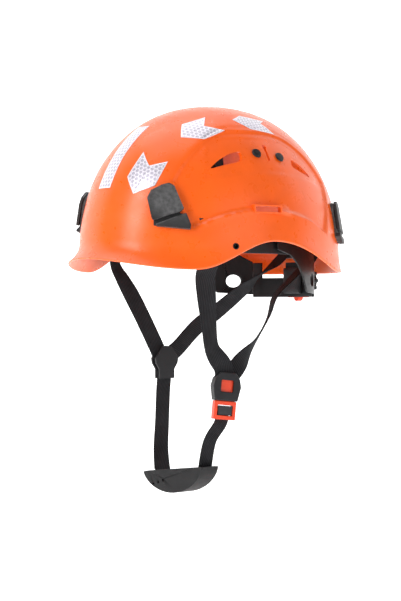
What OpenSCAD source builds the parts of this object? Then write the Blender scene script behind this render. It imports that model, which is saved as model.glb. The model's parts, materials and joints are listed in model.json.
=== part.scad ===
// Arborist climbing helmet: hard shell, headgear with a rear ratchet cradle, and a chin strap with a
// side-release buckle. Millimetres. +Z is up, the brim faces -Y, and the wearer's left is +X.
// The origin is the centre of the head opening, level with the lowest points of the side rim.

/* [Shell] */
// Length of the shell at the side rim, without the brim
shell_l = 270; // [225:1:325]
// Width of the shell
shell_w = 212; // [176:1:255]
// Height of the crown above the side rim
crown_h = 158; // [140:1:190]
// Wall of the moulded shell
wall = 2.8; // [2.4:0.1:3.6]
// How far the front brim flares out
brim_reach = 15; // [8:1:20]
// Rise of the front rim above the side rim
front_rise = 10; // [0:1:15]
// Rise of the arch over the ear above the side rim
ear_arch = 26; // [18:1:30]
// Depth of the recessed panel on each side
panel_depth = 2.5; // [1:0.1:3]

/* [Shell fittings] */
// Diameter of the side vent pegs' stems
peg_d = 5; // [4:0.5:6]
// Bore of the visor screw bushings
bushing_bore = 4.2; // [3:0.1:5]
// Length of the ear-muff slot
muff_slot_l = 27; // [22:1:32]
// Width of the ear-muff slot
muff_slot_w = 5; // [4.6:0.1:6]
// Height of a lamp clip above the shell
clip_h = 4.2; // [4:0.1:6]
// Width of the long reflective stripe
stripe_w = 18; // [12:1:24]

/* [Headgear] */
// Height of the headband
band_h = 22; // [16:1:26]
// Thickness of the headband
band_t = 1.8; // [1.2:0.1:2.4]
// Space between the shell and the headband at each side
side_space = 26; // [22:1:30]
// Space between the shell and the headband at front and back
end_space = 30; // [26:1:34]
// Thickness of the brow pad
brow_pad_t = 5; // [3:0.5:6]
// Thickness of the cradle arms and of the nape plate
cradle_t = 2; // [1.6:0.1:2.6]
// Radius of the adjusting knob
knob_r = 16; // [13:0.5:17]
// Radius of the knob's screw
screw_r = 1.6; // [1.2:0.1:2]

/* [Chin strap] */
// Width of the webbing
strap_w = 18; // [15:0.5:20]
// Thickness of the webbing
strap_t = 1.8; // [1.2:0.1:2.2]
// Width of the buckle's socket
buckle_w = 27; // [24:0.5:34]
// Height of the buckle's socket
buckle_h = 26; // [24:0.5:32]
// Thickness of the buckle's plug blade
blade_t = 3.2; // [2.6:0.1:3.6]
// Width of the chin cup from tip to tip
cup_w = 92; // [76:1:110]
// Depth of the chin cup from its top edge to its lowest point
cup_h = 22; // [18:1:28]

/* [Hidden] */
$fn = 48;
gap = 0.3;        // clearance between pieces that move past each other
snug = 0.05;      // clearance between pieces that touch and don't move
sink = 2.2;       // how deep a clip's foot is moulded into the shell

half_l = shell_l / 2;
half_w = shell_w / 2;
dome_from = 10;   // the shell is upright below this height
dome_power = 2.2;
dome_h = crown_h - dome_from;
brim_h = 20;      // height of the flared lip
side_flare = 1.5;
columns = 64;
dome_rows = 12;

function ease(u) = u <= 0 ? 0 : u >= 1 ? 1 : u * u * (3 - 2 * u);
function wave(u) = (1 - cos(180 * u)) / 2;
// -90 at the back, 0 at the sides, 90 at the front
function frontness(a) = asin(sin(a));
// share of the plan size that is left at height z of a dome as high as top
function narrow(z, top) =
    z <= dome_from ? 1 : z >= top ? 0
    : pow(1 - pow((z - dome_from) / (top - dome_from), dome_power), 1 / dome_power);
function rim_z(a) =
    let (f = frontness(a))
    f > 38 ? front_rise * wave((f - 38) / 52)
    : f > 4 ? ear_arch * (1 - wave((f - 4) / 34))
    : f > -45 ? ear_arch * (1 - wave((4 - f) / 49)) : 0;
function flare(a) =
    let (f = frontness(a))
    f > 0 ? side_flare + (brim_reach - side_flare) * pow(sin(f), 3) : side_flare - side_flare * sin(f);
function lip(a, z) =
    let (d = (z - rim_z(a)) / brim_h)
    d >= 1 ? 0 : flare(a) * pow(1 - max(0, d), 2);
// the recessed side panel: 1 inside it, 0 outside, with steps about 3 mm wide
panel_top = 130;
panel_low = 54.5;
function panel(a, z) =
    let (f = frontness(a))
    let (high = panel_top - (f > 5 ? 52 * pow((f - 5) / 45, 4) : 44 * pow((5 - f) / 47, 3.5)))
    let (low = panel_low - 19 * pow((f - 6) / 34, 2))
    let (ahead = 40 + 10 * (z - 34.5) / 43.5, behind = -29.5 - 12.5 * (z - 36.7) / 49.3)
    ease((high - z) / 3) * ease((z - low) / 3) * ease((ahead - f) * 0.7) * ease((f - behind) * 0.7);
// a point of the shell at plan angle a and height z; inset 0 is outside and wall is inside
function shell_point(a, z, inset) =
    let (n = narrow(z, crown_h - inset), out = lip(a, z) - panel_depth * panel(a, z))
    [((half_w - inset) * n + out) * cos(a), -((half_l - inset) * n + out) * sin(a), z];
function unit(v) = v / norm(v);
// how far out the shell's inner face is at distance y from the middle and height z
function inner_reach(y, z) =
    let (n = narrow(z, crown_h - wall))
    (half_w - wall) * n * sqrt(1 - pow(y / ((half_l - wall) * n), 2));
// the same towards the back, at distance x to the side
function inner_back(x, z) =
    let (n = narrow(z, crown_h - wall))
    (half_l - wall) * n * sqrt(1 - pow(x / ((half_w - wall) * n), 2));
quarter_turn = 24;   // the shell's side faces this far forwards or backwards at its quarters
set_in = 1;          // how deep a bracket's foot is moulded into the shell
key_in = -0.6;       // the same for a key, behind the recessed panel
function shell_normal(a, z) =
    unit(cross(shell_point(a - 1, z, 0) - shell_point(a + 1, z, 0),
               shell_point(a, z + 2, 0) - shell_point(a, z - 2, 0)));

// stand children on the shell's outside: x runs backwards, y upwards, z outwards (left side)
module on_shell(a, z) {
    p = shell_point(a, z, 0);
    n = shell_normal(a, z);
    v = unit([0, 0, 1] - n * n.z);
    u = cross(v, n);
    multmatrix([[u.x, v.x, n.x, p.x], [u.y, v.y, n.y, p.y], [u.z, v.z, n.z, p.z], [0, 0, 0, 1]])
        children();
}
// stand children at the ear-muff slot: x runs backwards, y upwards, z outwards
module at_muff_slot() {
    p = shell_point(muff_slot_at.x, muff_slot_at.y - 6, 0);
    translate([p.x, p.y, muff_slot_at.y]) rotate([90, 0, 90 - muff_slot_at.x]) children();
}
module right_side() {
    mirror([1, 0, 0]) children();
}

// Closed mesh from rings of equal length: first and last ring are capped
function ring_faces(n, m) = concat(
    [for (i = [0:n - 2], j = [0:m - 1]) let (k = (j + 1) % m) [i * m + j, i * m + k, (i + 1) * m + j]],
    [for (i = [0:n - 2], j = [0:m - 1]) let (k = (j + 1) % m) [i * m + k, (i + 1) * m + k, (i + 1) * m + j]],
    [for (j = [1:m - 2]) [0, j + 1, j]],
    [for (j = [1:m - 2]) [(n - 1) * m, (n - 1) * m + j, (n - 1) * m + j + 1]]);

// ---- shell ----
function row_height(a, i, top) =
    let (base = rim_z(a), start = base + brim_h)
    i < 4 ? base + [0, 5, 11, 20][i] : start + (top - start) * pow(sin(90 * (i - 3) / dome_rows), 0.909);
rows = 3 + dome_rows;   // rings below the pole
function skin(inset) = [
    for (i = [0:rows - 1], j = [0:columns - 1])
    let (a = 360 * j / columns)
    shell_point(a, row_height(a, i, crown_h - inset), inset)];
function skin_faces(first, flip) =
    let (pole = first + rows * columns)
    [for (i = [0:rows - 1], j = [0:columns - 1], side = [0, 1])
        let (k = (j + 1) % columns)
        let (p = first + i * columns + j, q = first + i * columns + k)
        let (top = i == rows - 1)
        let (face = side == 0 ? [p, q, top ? pole : p + columns] : top ? [] : [q, q + columns, p + columns])
        if (len(face) > 0) flip ? [face[2], face[1], face[0]] : face];
module raw_shell() {
    outer = concat(skin(0), [[0, 0, crown_h]]);
    inner = concat(skin(wall), [[0, 0, crown_h - wall]]);
    n = len(outer);
    rim = [for (j = [0:columns - 1], side = [0, 1])
        let (k = (j + 1) % columns)
        side == 0 ? [j, n + j, k] : [k, n + j, n + k]];
    polyhedron(concat(outer, inner), concat(skin_faces(0, false), skin_faces(n, true), rim), convexity = 6);
}

// places on the shell: plan angle and height
front_clip_at = [50, 56];
rear_clip_at = [-48, 48];
bushing_at = [22, 21];
muff_slot_at = [7, panel_low + 0.5];
peg_at = [[6.8, 107], [-7.8, 105]];
// outlines of the side vents, seen from the left: forward is negative
front_vent = [[-63, 90], [-52, 99], [-40, 105.5], [-28.5, 108.5], [-29.5, 99], [-46, 95]];
rear_vent = [[57, 88], [46, 98], [31, 105], [28.5, 97], [43, 92]];
key_hole = [0.5, 110];

module side_cut(outline) {
    rotate([90, 0, 90])
        linear_extrude(2 * shell_w, center = true)
        polygon(outline);
}
module key_slot() {
    rotate([90, 0, 90])
        linear_extrude(2 * shell_w, center = true)
        union() {
            translate([key_hole.x - 1.2, key_hole.y - 9]) square([2.4, 12]);
            translate([key_hole.x, key_hole.y + 4]) circle(2.3);
        }
}
module fitting_holes() {
    for (at = peg_at) on_shell(at.x, at.y) cylinder(h = 20, d = peg_d, center = true);
    on_shell(bushing_at.x, bushing_at.y)
        translate([0, 0, -pocket_deep])
        cylinder(h = 20, r = bushing_bore / 2 + bushing_t);
    at_muff_slot()
        cube([muff_slot_l + 2 * sleeve_t, muff_slot_w + 2 * sleeve_t, 20], center = true);
}
// a blind boss inside the shell that holds the visor bushing
module visor_boss() {
    on_shell(bushing_at.x, bushing_at.y)
        translate([0, 0, -pocket_deep - 1.2])
        cylinder(h = pocket_deep + 1.2 - wall / 2, r = bushing_bore / 2 + bushing_t + 1.8);
}
module whole_shell() {
    difference() {
        union() {
            raw_shell();
            visor_boss();
            right_side() visor_boss();
        }
        side_cut(front_vent);
        side_cut(rear_vent);
        key_slot();
        fitting_holes();
        right_side() fitting_holes();
    }
}
// The shell is one moulding. It is drawn as a front, a rear and a small seat around each visor
// hole, which meet on upright planes that hold the holes' axes.
seat_half = 12;   // half the width of a seat
seat_rise = 14;   // how far a seat reaches above its hole
visor_p = shell_point(bushing_at.x, bushing_at.y, 0);
visor_n = shell_normal(bushing_at.x, bushing_at.y);
module front_zone() {
    slope = visor_n.y / visor_n.x;
    far = 2 * shell_w;
    middle = visor_p.y - visor_p.x * slope;
    linear_extrude(4 * shell_w, center = true)
        polygon([[0, middle], [far, middle + far * slope], [far, -2 * shell_l],
                 [-far, -2 * shell_l], [-far, middle + far * slope]]);
}
module seat_zone() {
    translate([visor_p.x, visor_p.y, -shell_w])
        rotate([0, 0, atan2(visor_n.y, visor_n.x)])
        translate([-30, -seat_half, 0])
        cube([60, 2 * seat_half, shell_w + visor_p.z + seat_rise]);
}
module both_seat_zones() {
    seat_zone();
    right_side() seat_zone();
}
module shell_front() color("orangered") difference() {
    intersection() {
        whole_shell();
        front_zone();
    }
    both_seat_zones();
}
module shell_rear() color("orangered") difference() {
    whole_shell();
    front_zone();
    both_seat_zones();
}
module shell_seat() color("orangered") intersection() {
    whole_shell();
    seat_zone();
}

// ---- pieces set into the shell ----
module peg(at) on_shell(at.x, at.y) color("black") {
    stem = peg_d / 2 - snug;
    rotate_extrude() polygon([[0, -6], [stem, -6], [stem, 0.4], [4.75, 0.4], [4, 1.7], [0, 1.9]]);
}
bushing_t = 0.8;
pocket_deep = wall + 2.2;   // depth of the pocket that the bushing sits in
module bushing() on_shell(bushing_at.x, bushing_at.y) color("black") {
    bore = bushing_bore / 2;
    low = snug - pocket_deep;
    difference() {
        translate([0, 0, low]) cylinder(h = 0.3 - low, r = bore + bushing_t - snug);
        translate([0, 0, low + 1]) cylinder(h = pocket_deep, r = bore);
    }
}
sleeve_t = 1.5;
module muff_sleeve() at_muff_slot() color("black") {
    difference() {
        translate([0, 0, -2.1])
            cube([muff_slot_l + 2 * (sleeve_t - snug), muff_slot_w + 2 * (sleeve_t - snug), 5], center = true);
        cube([muff_slot_l, muff_slot_w, 20], center = true);
    }
}

// a lamp clip: a foot with a fixed wedge, and a sprung tab over the lamp strap's slot
front_tab = [[-14.4, -13.5], [-19.3, 7], [-16, 14], [-6, 19], [0, 20.5], [4.5, 18], [13.7, -3], [10.5, -5.5]];
front_wedge = [[-14.4, -18], [15.7, -7], [20, -17.5], [19.4, -21.4]];
rear_tab = [[-15, -7], [-15, 17], [-12, 19.5], [4, 19.5], [11, 15], [15.5, -12]];
rear_wedge = [[-15.5, -10.5], [15.5, -15.5], [15, -20.5], [-4, -20.5], [-16, -14]];
clip_floor = 1.2;  // top of the foot, under the lamp strap's slot
tab_t = 2.4;
tab_low = clip_h - tab_t + 0.4;
root_low = 13;     // the tab stands on a root block from here up

module clip_base(at, tab, wedge) on_shell(at.x, at.y) color("dimgray") {
    translate([0, 0, -sink])
        linear_extrude(sink + clip_floor)
        offset(r = -1)
        union() {
            polygon(tab);
            polygon(wedge);
            polygon([tab[0], tab[len(tab) - 1], wedge[1], wedge[0]]);
        }
    linear_extrude(tab_low - gap)
        intersection() {
            offset(r = -1.5) polygon(tab);
            translate([-20, root_low]) square([40, 10]);
        }
    linear_extrude(clip_h) offset(r = 1) offset(delta = -1) polygon(wedge);
}
module clip_tab(at, tab) on_shell(at.x, at.y) color("dimgray") {
    translate([0, 0, tab_low]) linear_extrude(tab_t) offset(r = 2) offset(delta = -2) polygon(tab);
}

// ---- reflective film ----
// a patch of film between four corners, each given as plan angle and height
film_t = 0.5;
film_lift = 0.1;
function mix(p, q, u) = p + (q - p) * u;
function film_point(c, u, v, off) =
    let (m = mix(mix(c[0], c[1], u), mix(c[3], c[2], u), v))
    shell_point(m.x, m.y, 0) + shell_normal(m.x, m.y) * off;
module film(c, n, m) {
    low = [for (i = [0:n], j = [0:m]) film_point(c, i / n, j / m, film_lift)];
    high = [for (i = [0:n], j = [0:m]) film_point(c, i / n, j / m, film_lift + film_t)];
    w = m + 1;
    k = (n + 1) * w;
    quads = [for (i = [0:n - 1], j = [0:m - 1]) [i * w + j, (i + 1) * w + j, (i + 1) * w + j + 1, i * w + j + 1]];
    edge = concat([for (j = [0:m - 1]) j], [for (i = [0:n - 1]) i * w + m],
                  [for (j = [m:-1:1]) n * w + j], [for (i = [n:-1:1]) i * w]);
    faces = concat(
        [for (q = quads) [q[0] + k, q[2] + k, q[1] + k]],
        [for (q = quads) [q[0] + k, q[3] + k, q[2] + k]],
        [for (q = quads) [q[0], q[1], q[2]]],
        [for (q = quads) [q[0], q[2], q[3]]],
        [for (i = [0:len(edge) - 1])
            let (p = edge[i], q = edge[(i + 1) % len(edge)])
            [p, q, q + k]],
        [for (i = [0:len(edge) - 1])
            let (p = edge[i], q = edge[(i + 1) % len(edge)])
            [p, q + k, p + k]]);
    polyhedron(concat(low, high), faces, convexity = 4);
}
module chevron(tip_end, notch, tail_end, tail, point, side) {
    film([side, point, notch, tip_end], 3, 3);
    film([point, tail, tail_end, notch], 3, 3);
}
// the right side's first chevron is stuck on a little further back than the left side's
module chevrons(back = 0) color("lavender") {
    b = [back, 0];
    chevron([70, 107] - b, [63.2, 93.5] - b, [53.6, 97] - b, [57.8, 75] - b, [68.4, 68] - b, [74.5, 84] - b);
    chevron([37, 141.5], [37, 132], [23.4, 128], [36, 118.7], [50, 120.3], [53, 133.6]);
    chevron([-17.4, 141.5], [-9.8, 138.5], [-14.2, 128], [4, 131], [15, 140], [5.6, 145]);
}
// the stripe runs up the middle from the brow; its edges stay parallel
function stripe_corner(side, z) =
    let (n = narrow(z, crown_h))
    [90 - side * asin(stripe_w / 2 / (half_w * n)), z];
module stripe() color("lavender") {
    film([stripe_corner(1, 134), stripe_corner(-1, 134), stripe_corner(-1, 106), stripe_corner(1, 106)], 3, 4);
    film([stripe_corner(1, 106), stripe_corner(-1, 106), stripe_corner(-1, 75), stripe_corner(1, 75)], 3, 4);
}

// ---- headband ----
band_a = half_w - side_space;   // half width of the headband, outside
band_b = half_l - end_space;    // half length of the headband, outside
band_low = 16;
// arc of an oval wall from angle t0 to t1, measured from the back towards the left
function oval(a, b, t) = [a * sin(t), b * cos(t)];
module oval_wall(a, b, t, t0, t1, z0, h) {
    n = ceil(abs(t1 - t0) / 5);
    translate([0, 0, z0])
        linear_extrude(h)
        polygon(concat(
            [for (i = [0:n]) oval(a, b, mix(t0, t1, i / n))],
            [for (i = [n:-1:0]) oval(a - t, b - t, mix(t0, t1, i / n))]));
}
module headband() color("dimgray") oval_wall(band_a, band_b, band_t, 72, 288, band_low, band_h);
module brow_pad() color("darkslategray")
    oval_wall(band_a - band_t - 0.2, band_b - band_t - 0.2, brow_pad_t, 132, 228, band_low + 1, band_h + 2);

// ---- suspension ----
key_z = band_low + band_h - 1;
key_at = [band_a * 0.86, band_b * 0.6];   // keys sit half way along the four quarters
crown_gap = 31;                           // space between the straps' peak and the shell
crown_t = 1.2;
module key(front) color("black") {
    y = front ? -key_at.y : key_at.y;
    reach = (inner_reach(key_at.y, key_z + 5) - key_at.x) * cos(quarter_turn) + key_in;
    translate([key_at.x, y, key_z])
        rotate([0, 0, front ? -quarter_turn : quarter_turn])
        difference() {
            translate([-1.5, -9, 0]) cube([reach + 1.5, 18, 9]);
            translate([2, -6, -1]) cube([reach * 0.5, 12, 11]);
        }
}
// crossing webbing, as an arch from one key to the opposite one
module crown_strap(lift, y_sign) color("black") {
    from = [key_at.x * 0.985, y_sign * key_at.y * 0.985, key_z + 1];
    peak = crown_h - crown_gap + lift;
    side = unit([-from.y, from.x, 0]);
    n = 20;
    points = [for (i = [0:n])
        let (t = 180 * i / n)
        let (c = [from.x * cos(t), from.y * cos(t), from.z + (peak - from.z) * pow(sin(t), 0.9)])
        let (up = unit([from.x * cos(t) / 95, from.y * cos(t) / 95, sin(t) + 0.05]))
        each [c - side * 8 - up * crown_t / 2, c + side * 8 - up * crown_t / 2,
              c + side * 8 + up * crown_t / 2, c - side * 8 + up * crown_t / 2]];
    polyhedron(points, ring_faces(n + 1, 4), convexity = 4);
}
crown_pad_r = 36;
crown_pad_t = 10;
module crown_pad() color("darkslategray") {
    translate([0, 0, crown_h - crown_gap - crown_pad_t / 2 - 3.4])
        rotate_extrude()
        intersection() {
            scale([crown_pad_r, crown_pad_t / 2]) circle(1);
            square([crown_pad_r, crown_pad_t]);
        }
}

// ---- rear cradle ----
slide_room = 2.2;      // radial space between headband and cradle
arm_a = band_a + slide_room + cradle_t;
arm_b = band_b + slide_room + cradle_t;
nape_top = 11.5;
nape_low = -23.5;
nape_turn = 33;        // the nape plate ends at this angle from the back
notch_low = -4;        // top edge of the nape plate where the rear straps cross it
rear_anchor_x = 22;
notch_out = rear_anchor_x + strap_w / 2 + 7;   // outer end of those notches
knob_z = -7;
housing_y = arm_b + snug;
housing_t = 6;
// arm outline seen from the side: distance behind the middle, and height
arm_front = 12;
module arm() color("black") {
    back = arm_b * cos(nape_turn + 0.5);
    outline = [[arm_front, 37], [arm_front, 20], [30.7, 15], [42, 7], [52.5, -5], [59, -16], [62, -19],
               [back + 2, -21], [back + 2, 10], [back - 14, 22], [back - 36, 33]];
    difference() {
        intersection() {
            oval_wall(arm_a, arm_b, cradle_t, nape_turn + 0.2, 88, -30, 80);
            rotate([90, 0, 90]) linear_extrude(arm_a + 5) polygon(outline);
        }
        translate([0, back - 15.5, knob_z]) rotate([0, 90, 0]) cylinder(h = arm_a + 5, d = 13);
    }
}
module nape_plate() color("black") {
    difference() {
        oval_wall(arm_a, arm_b, cradle_t, -nape_turn, nape_turn, nape_low, nape_top - nape_low);
        for (s = [-1, 1])
            translate([s > 0 ? housing_half : -notch_out, 0, notch_low])
                cube([notch_out - housing_half, 2 * arm_b, 60]);
    }
}
module nape_pad() color("darkslategray")
    oval_wall(arm_a - cradle_t - 0.2, arm_b - cradle_t - 0.2, 4, -9, 9, nape_low + 3, 27);

// the ratchet: an orange housing, two toothed racks, a pinion with its knob, and a screw
run = 0.05;            // radial clearance of what turns in a bore
tooth_pitch = 3;
teeth = 9;             // of the pinion
pitch_r = tooth_pitch * teeth / 360 * 180 / PI;
tooth_deep = 0.4;      // how far a tooth reaches past the pitch line
housing_half = 12.5;
housing_front = 1.2;   // thickness of the housing's wall next to the nape plate
housing_back = 1;      // thickness of the housing's wall next to the knob
rack_bar = 2.4;
rack_y = housing_y + housing_front + gap;
rack_t = housing_t - housing_front - housing_back - 2 * gap;
hub_r = 3.2;
module along_back(y) translate([0, y, knob_z]) rotate([-90, 0, 0]) children();
module ratchet_housing() color("orangered") {
    inside = pitch_r + 0.3 + 1 + rack_bar + gap;
    difference() {
        union() {
            translate([-housing_half, housing_y, nape_low - 0.5]) cube([2 * housing_half, housing_t, 34]);
            translate([0, housing_y, nape_low - 0.5]) rotate([-90, 0, 0]) cylinder(h = housing_t, r = 3.5);
        }
        translate([-30, housing_y + housing_front, knob_z - inside])
            cube([60, housing_t - housing_front - housing_back, 2 * inside]);
        along_back(0) cylinder(h = 2 * arm_b, r = screw_r + run);
        along_back(housing_y + housing_t / 2) cylinder(h = housing_t, r = hub_r + run);
    }
}
// side 1 is the left rack, above the pinion; side -1 is the right rack, below it
module rack(side) color("dimgray") {
    tip = pitch_r - tooth_deep + 0.2;
    shift = side > 0 ? tooth_pitch / 2 : 0;
    translate([0, rack_y, knob_z])
        rotate([0, side > 0 ? 0 : 180, 0])
        union() {
            translate([-14, 0, pitch_r + 1.3]) cube([36, rack_t, rack_bar]);
            for (i = [-4:6])
                translate([tooth_pitch * i + shift - 0.6, 0, tip]) cube([1.2, rack_t, pitch_r + 1.4 - tip]);
        }
}
module pinion() color("gainsboro")
    along_back(rack_y)
    difference() {
        union() {
            cylinder(h = rack_t, r = pitch_r - 0.8);
            for (i = [0:teeth - 1])
                rotate([0, 0, 360 / teeth * (i + 0.5) + 90])
                    translate([0, -0.5, 0])
                    cube([pitch_r + tooth_deep - 0.2, 1, rack_t]);
            cylinder(h = knob_y - rack_y - 0.2, r = hub_r);
        }
        translate([0, 0, -1]) cylinder(h = 20, r = screw_r + run);
    }
knob_y = housing_y + housing_t + 0.9;
knob_t = 8.5;
lobes = 12;
module knob() color("black")
    along_back(knob_y)
    difference() {
        union() {
            cylinder(h = knob_t, r = knob_r - 2);
            for (i = [0:lobes - 1])
                rotate([0, 0, 360 / lobes * i])
                    translate([knob_r - 2.2, 0, 0])
                    cylinder(h = knob_t, r = 2.2, $fn = 24);
        }
        translate([0, 0, -1]) cylinder(h = 20, r = screw_r + run);
        translate([0, 0, knob_t - 2]) cylinder(h = 5, r = 5);
    }
module knob_screw() color("silver") {
    seat = knob_y + knob_t - 2;
    along_back(housing_y + gap) cylinder(h = seat + 0.5 - housing_y - gap, r = screw_r);
    along_back(seat + run) cylinder(h = 1.4, r = 3.4);
}

// ---- webbing ----
// stations are a place and the direction of the webbing's width there; the route is a smooth curve
function spline(p, i, u) =
    let (a = p[max(0, i - 1)], b = p[i], c = p[i + 1], d = p[min(len(p) - 1, i + 2)])
    b + ((c - a) * u + (2 * a - 5 * b + 4 * c - d) * u * u + (3 * b - a - 3 * c + d) * u * u * u) / 2;
module webbing(places, widths, w) {
    steps = 4;
    n = (len(places) - 1) * steps;
    centre = [for (i = [0:n]) i == n ? places[len(places) - 1] : spline(places, floor(i / steps), (i % steps) / steps)];
    width = [for (i = [0:n]) i == n ? widths[len(widths) - 1] : spline(widths, floor(i / steps), (i % steps) / steps)];
    points = [for (i = [0:n])
        let (along = unit(centre[min(n, i + 1)] - centre[max(0, i - 1)]))
        let (across = unit(width[i] - along * (width[i] * along)))
        let (up = cross(across, along))
        each [centre[i] - across * w / 2 - up * strap_t / 2, centre[i] + across * w / 2 - up * strap_t / 2,
              centre[i] + across * w / 2 + up * strap_t / 2, centre[i] - across * w / 2 + up * strap_t / 2]];
    polyhedron(points, ring_faces(n + 1, 4), convexity = 4);
}
// places on the straps follow the headband when its size changes
function fit(p) = [p.x * band_a / 80, p.y * band_b / 105, p.z];

front_anchor = fit([76, -62, 20]);
rear_anchor = [rear_anchor_x, band_b + 9, 22];
divider_at = fit([-62, -10, -86]);
pivot = fit([-62, -11, -106]);
buckle_at = fit([57, -28.5, -106]);
swing_axis = unit([0, 1, -0.11]);

module anchor_front() color("black") {
    reach = (inner_reach(front_anchor.y, front_anchor.z + 6) - front_anchor.x) * cos(quarter_turn) + set_in;
    start = strap_t / 2 + snug;
    translate(front_anchor)
        rotate([0, 0, -quarter_turn])
        union() {
            translate([start, -strap_w / 2 - 2, -2]) cube([reach - start, strap_w + 4, 16]);
            translate([-4, -strap_w / 2 - 2, strap_w * 0.55]) cube([5, strap_w + 4, 14 - strap_w * 0.55]);
        }
}
module anchor_rear() color("black") {
    side = strap_w / 2 + 2;
    start = rear_anchor.y - 1;
    back = inner_back(rear_anchor.x + side, rear_anchor.z) + set_in;
    translate([rear_anchor.x - side, start, rear_anchor.z - 6]) cube([2 * side, back - start, 16]);
}
lap = strap_t / 2 + 0.1;   // two straps that lie on each other are this far from the middle
// left front strap: headband side to the buckle's socket
// a place at the socket's top: backwards along its face, inwards, and up from its top edge
function socket_entry(along, inward, up) = plug_point([along, inward, buckle_h / 2 + up]);
module strap_front_left() color("black")
    webbing([front_anchor + [0, 0, 8], fit([74, -62, 8]), fit([66, -59.5, -6]), fit([63, -55.7, -24]),
             fit([61, -51.6, -46]), fit([60, -47, -71]), socket_entry(-6, -2.6, 6), socket_entry(-3, -1.6, -3)],
            [[0.5, 0.86, 0], [0.5, 0.86, 0], [0.55, 0.83, 0], [0.35, 0.93, 0], [0, 1, 0.1],
             [-0.1, 1, 0.2], [0.33, 0.92, 0.2], [0.34, 0.94, 0.2]], strap_w);
module strap_rear_left() color("black")
    webbing([rear_anchor, [rear_anchor_x + 3, arm_b - 8, 9], fit([32, 74, -6]), fit([46, 41, -24]), fit([47, 31, -44]),
             fit([50, 10, -69]), socket_entry(11, 2.8, 7), socket_entry(4, 1.6, -3)],
            [[1, 0, 0], [1, 0, 0], [0.96, -0.2, 0.1], [0.93, -0.37, 0.13], [0.85, -0.5, 0.2],
             [0.7, -0.7, 0.2], [-0.25, -0.68, 0.69], [-0.34, -0.94, 0.3]], strap_w * 0.95);
module strap_front_right() color("black")
    right_side()
    webbing([front_anchor + [0, 0, 8], fit([74, -61, 8]), fit([69, -56, -6]), fit([66, -46, -24]), fit([64, -34, -46]),
             fit([63, -21, -70]), fit([62, -15, -81]) + [lap, 0, 0]],
            [[0.5, 0.86, 0], [0.4, 0.9, 0.15], [0.2, 0.93, 0.3], [0, 0.92, 0.42], [0, 0.92, 0.4],
             [0, 0.93, 0.38], [0, 0.95, 0.3]], strap_w);
module strap_rear_right() color("black")
    right_side()
    webbing([rear_anchor, [rear_anchor_x + 3, arm_b - 8, 9], fit([27, 78.5, -5]), fit([40, 68, -19]), fit([57, 51, -39]),
             fit([61, 29, -54]), fit([62, 6, -74]) - [lap, 0, 0], fit([62, -5, -81]) - [lap, 0, 0]],
            [[1, 0, 0], [1, 0, 0], [0.8, 0.45, -0.45], [0.3, 0.7, -0.65], [0, 0.72, -0.7],
             [0, 0.72, -0.7], [0, 0.7, -0.72], [0, 0.75, -0.66]], strap_w * 0.95);

// right divider: two moulded plates that join the two straps to the lower one
divider_outline = [[-14, 2], [-13, -3], [-9, -9], [-9, -18], [9, -18], [9, -9], [13, -3], [14, 2], [5, 14], [-5, 14]];
module divider_plate(t) {
    rotate([90, 0, 90]) linear_extrude(t) polygon(divider_outline);
}
plate_t = 2.2;
plate_out = strap_t + 0.2;   // from the middle of the straps to a plate
module divider_front() color("dimgray") {
    translate(divider_at - [plate_out + plate_t, 0, 0]) divider_plate(plate_t);
    translate(divider_at - [plate_out + plate_t + 1.2, 0, 0])
        rotate([90, 0, 90])
        linear_extrude(1.2)
        polygon([[-8, -8], [8, -8], [0, 10]]);
}
module divider_back() color("dimgray") translate(divider_at + [plate_out, 0, 0]) divider_plate(plate_t);

// ---- chin strap: lower straps, cup and buckle plug, all on the swinging body ----
cup_at = fit([0, -38, -186]);
module strap_lower_right() color("black")
    webbing([pivot, fit([-62, -12, -118]), fit([-61, -14, -147]), fit([-56, -19, -172]),
             cup_at + [-cup_w * 0.42, 8, -6]],
            [swing_axis, [0, 1, -0.1], [0, 1, -0.1], [0.1, 0.98, -0.2], [0.3, 0.9, -0.2]], strap_w * 0.95);
module strap_lower_left() color("black")
    webbing([plug_point([0, loop_half + strap_t / 2 - 0.1, -buckle_h / 2 - 6]),
             plug_point([0, loop_half + strap_t / 2 + 0.4, -buckle_h / 2 - 20]), fit([44, -37, -157]),
             cup_at + [cup_w * 0.38, 2, 2]],
            [[0.34, 0.94, 0], [0.34, 0.94, 0], [0.35, 0.9, 0.1], [0.5, 0.8, 0.2]], narrow_w);

// cup: a boat-shaped guard, open at the top and towards the throat
cup_wall = 2.6;
cup_depth = 20;
function cup_arc(drop, w, n) = [for (i = [0:n]) [w / 2 * cos(180 * i / n), -drop * pow(sin(180 * i / n), 1.25)]];
module cup_blank(w, drop, depth) {
    rotate([90, 0, 0])
        linear_extrude(depth)
        polygon(concat(cup_arc(drop, w, 24), [[-w / 2 + 8, 0.6], [w / 2 - 8, 0.6]]));
}
module chin_cup() color("dimgray") {
    translate([cup_at.x, cup_at.y + cup_depth / 2, cup_at.z])
        rotate([0, -7.5, 0])
        difference() {
            cup_blank(cup_w, cup_h, cup_depth);
            translate([0, cup_wall, cup_wall]) cup_blank(cup_w - 4 * cup_wall, cup_h, cup_depth);
            for (i = [-1:1])
                translate([-cup_w / 4 + i * 8, 0, -cup_h * 0.5 + i * 1.5])
                    rotate([90, 0, 0])
                    cylinder(h = 3 * cup_depth, r = 1.5, center = true);
        }
}

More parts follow.
